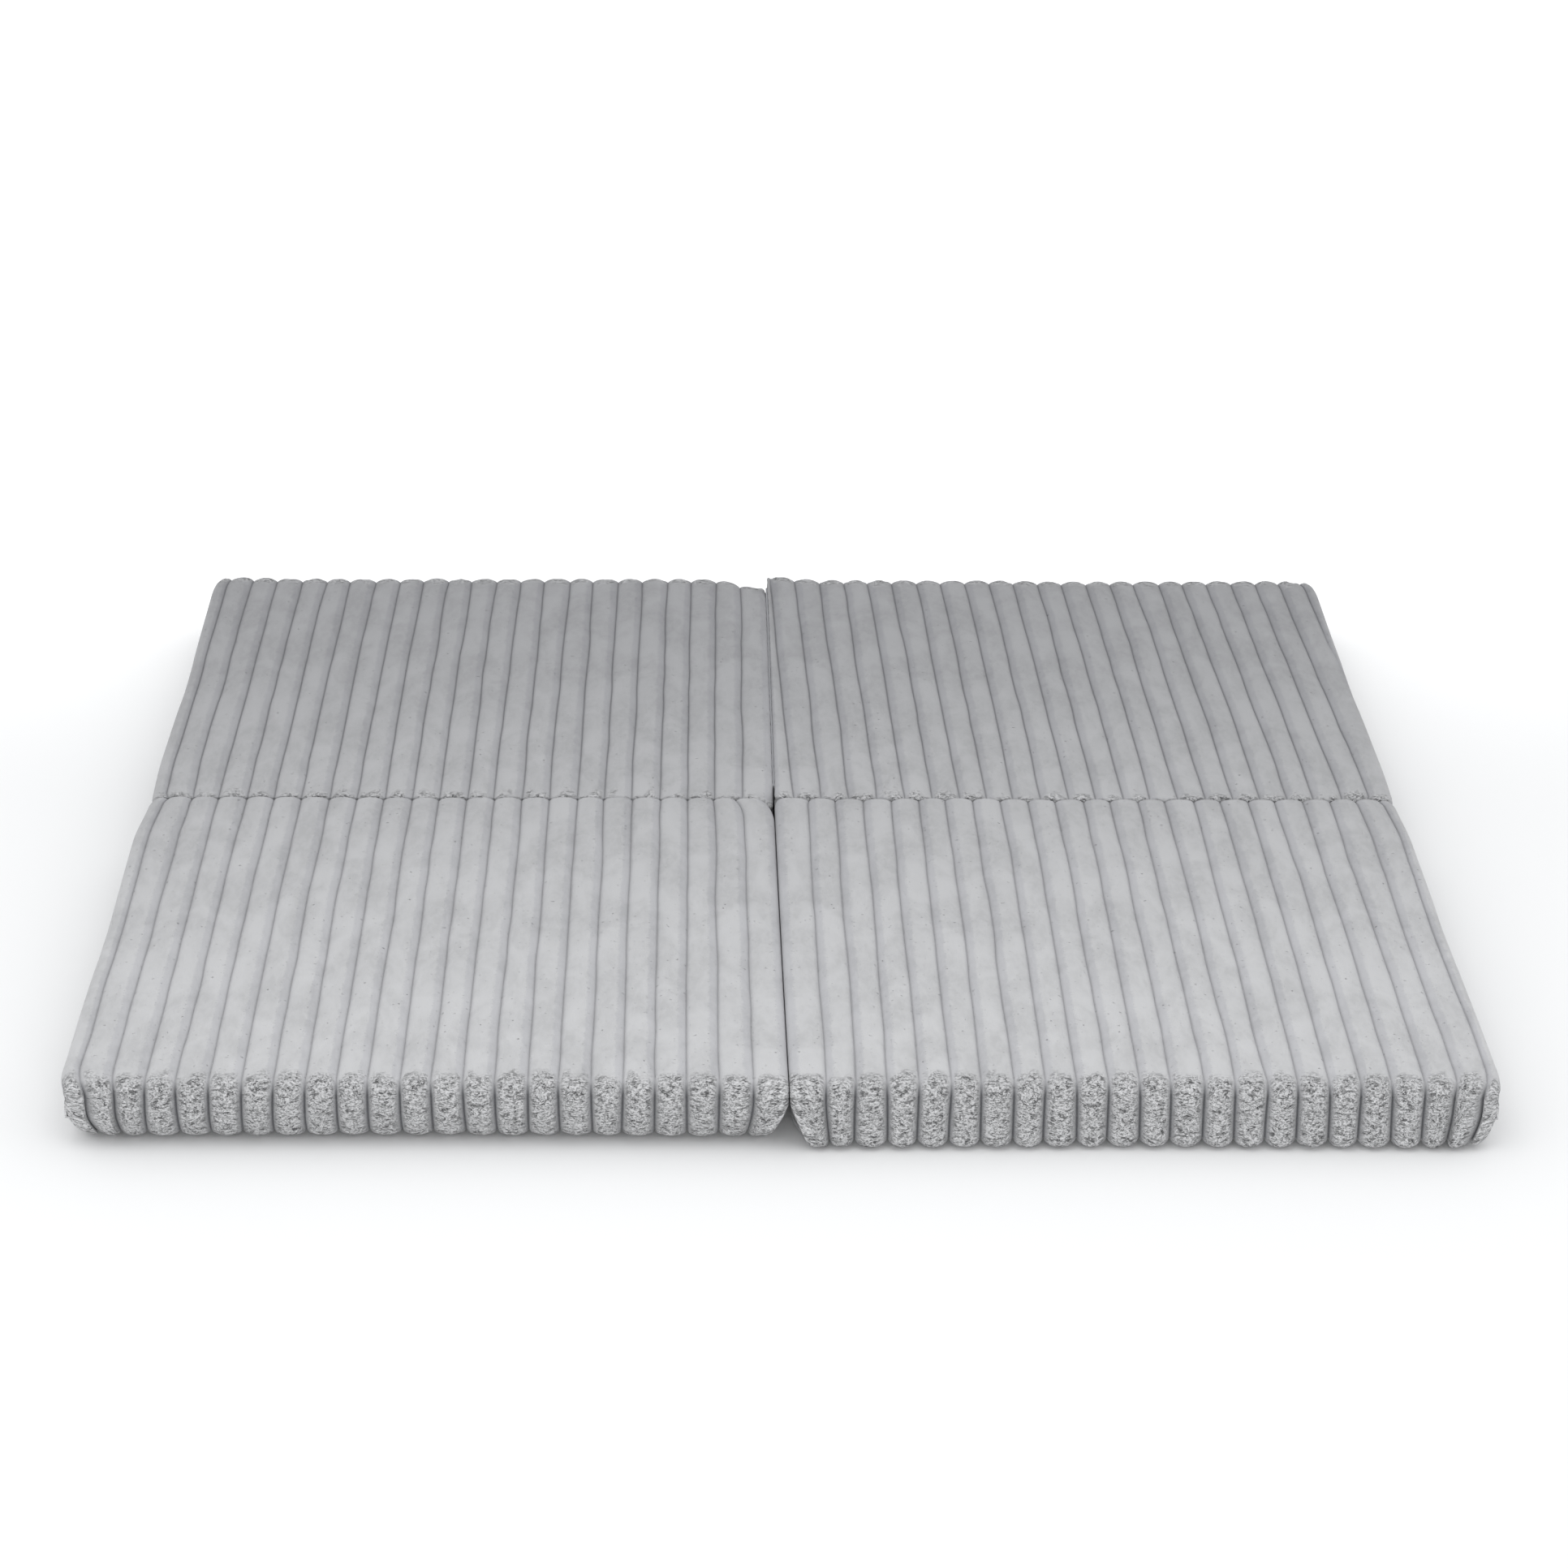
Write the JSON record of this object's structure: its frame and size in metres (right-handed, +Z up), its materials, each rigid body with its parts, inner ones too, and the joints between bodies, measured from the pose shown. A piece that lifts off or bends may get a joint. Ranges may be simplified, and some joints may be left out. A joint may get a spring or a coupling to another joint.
{
  "type": "folding memory foam mattress",
  "caption": "Square folding memory foam floor mattress: sewn-together panels in zipped light grey wide-wale corduroy covers that fold down to one panel's size.",
  "frame": {"origin": "on the floor, under the middle of the unfolded mattress", "axes": "+X to the sleeper's right, +Y to the back, +Z up; the cords of the corduroy run along Y"},
  "size_m": [1.2, 1.2, 0.067],
  "materials": {
    "corduroy": "matte",
    "hinge_tape": "matte",
    "liner_knit": "matte",
    "memory_foam": "matte",
    "base_foam": "matte",
    "zip_tape": "matte",
    "zip_coil": "satin",
    "zip_stop": "satin",
    "zip_metal": "satin"
  },
  "bodies": {
    "back_right": {"back_right_cover": "corduroy", "back_right_inner_gusset": "corduroy", "back_right_outer_gusset": "corduroy", "back_right_liner": "liner_knit", "back_right_base_foam": "base_foam", "back_right_memory_foam": "memory_foam", "back_right_zip_upper_tape": "zip_tape", "back_right_zip_lower_tape": "zip_tape", "back_right_zip_upper_coil": "zip_coil", "back_right_zip_lower_coil": "zip_coil", "back_right_zip_stops": "zip_stop", "centre_hinge_right_tape": "hinge_tape", "right_hinge_back_tape": "hinge_tape"},
    "back_right_slider": {"back_right_zip_slider": "zip_metal"},
    "back_right_pull": {"back_right_zip_pull": "zip_metal"},
    "back_left": {"back_left_cover": "corduroy", "back_left_inner_gusset": "corduroy", "back_left_outer_gusset": "corduroy", "back_left_liner": "liner_knit", "back_left_base_foam": "base_foam", "back_left_memory_foam": "memory_foam", "back_left_zip_upper_tape": "zip_tape", "back_left_zip_lower_tape": "zip_tape", "back_left_zip_upper_coil": "zip_coil", "back_left_zip_lower_coil": "zip_coil", "back_left_zip_stops": "zip_stop", "centre_hinge_left_tape": "hinge_tape", "left_hinge_back_tape": "hinge_tape"},
    "back_left_slider": {"back_left_zip_slider": "zip_metal"},
    "back_left_pull": {"back_left_zip_pull": "zip_metal"},
    "front_left": {"front_left_cover": "corduroy", "front_left_inner_gusset": "corduroy", "front_left_outer_gusset": "corduroy", "front_left_liner": "liner_knit", "front_left_base_foam": "base_foam", "front_left_memory_foam": "memory_foam", "front_left_zip_upper_tape": "zip_tape", "front_left_zip_lower_tape": "zip_tape", "front_left_zip_upper_coil": "zip_coil", "front_left_zip_lower_coil": "zip_coil", "front_left_zip_stops": "zip_stop", "left_hinge_front_tape": "hinge_tape"},
    "front_left_slider": {"front_left_zip_slider": "zip_metal"},
    "front_left_pull": {"front_left_zip_pull": "zip_metal"},
    "front_right": {"front_right_cover": "corduroy", "front_right_inner_gusset": "corduroy", "front_right_outer_gusset": "corduroy", "front_right_liner": "liner_knit", "front_right_base_foam": "base_foam", "front_right_memory_foam": "memory_foam", "front_right_zip_upper_tape": "zip_tape", "front_right_zip_lower_tape": "zip_tape", "front_right_zip_upper_coil": "zip_coil", "front_right_zip_lower_coil": "zip_coil", "front_right_zip_stops": "zip_stop", "right_hinge_front_tape": "hinge_tape"},
    "front_right_slider": {"front_right_zip_slider": "zip_metal"},
    "front_right_pull": {"front_right_zip_pull": "zip_metal"}
  },
  "joints": [
    {"name": "centre_fold", "type": "hinge", "parent": "back_right", "child": "back_left", "pos_m": [0, 0.301, 0.0675], "axis": [0, 1, 0], "range_deg": [0, 180]},
    {"name": "front_left_fold", "type": "hinge", "parent": "back_left", "child": "front_left", "pos_m": [-0.301, 0, -0.0005], "axis": [1, 0, 0], "range_deg": [0, 180]},
    {"name": "front_right_fold", "type": "hinge", "parent": "back_right", "child": "front_right", "pos_m": [0.301, 0, -0.0005], "axis": [1, 0, 0], "range_deg": [0, 180]},
    {"name": "back_right_zip_slide", "type": "slide", "parent": "back_right", "child": "back_right_slider", "axis": [0, -1, 0], "range_m": [0, 0.473]},
    {"name": "back_right_pull_swing", "type": "hinge", "parent": "back_right_slider", "child": "back_right_pull", "pos_m": [0.59815, 0.5486, 0.0335], "axis": [0, 0, 1], "range_deg": [0, 135]},
    {"name": "back_left_zip_slide", "type": "slide", "parent": "back_left", "child": "back_left_slider", "axis": [0, -1, 0], "range_m": [0, 0.473]},
    {"name": "back_left_pull_swing", "type": "hinge", "parent": "back_left_slider", "child": "back_left_pull", "pos_m": [-0.59815, 0.5486, 0.0335], "axis": [0, 0, -1], "range_deg": [0, 135]},
    {"name": "front_left_zip_slide", "type": "slide", "parent": "front_left", "child": "front_left_slider", "axis": [0, -1, 0], "range_m": [0, 0.473]},
    {"name": "front_left_pull_swing", "type": "hinge", "parent": "front_left_slider", "child": "front_left_pull", "pos_m": [-0.59815, -0.0534, 0.0335], "axis": [0, 0, -1], "range_deg": [0, 135]},
    {"name": "front_right_zip_slide", "type": "slide", "parent": "front_right", "child": "front_right_slider", "axis": [0, -1, 0], "range_m": [0, 0.473]},
    {"name": "front_right_pull_swing", "type": "hinge", "parent": "front_right_slider", "child": "front_right_pull", "pos_m": [0.59815, -0.0534, 0.0335], "axis": [0, 0, 1], "range_deg": [0, 135]}
  ]
}
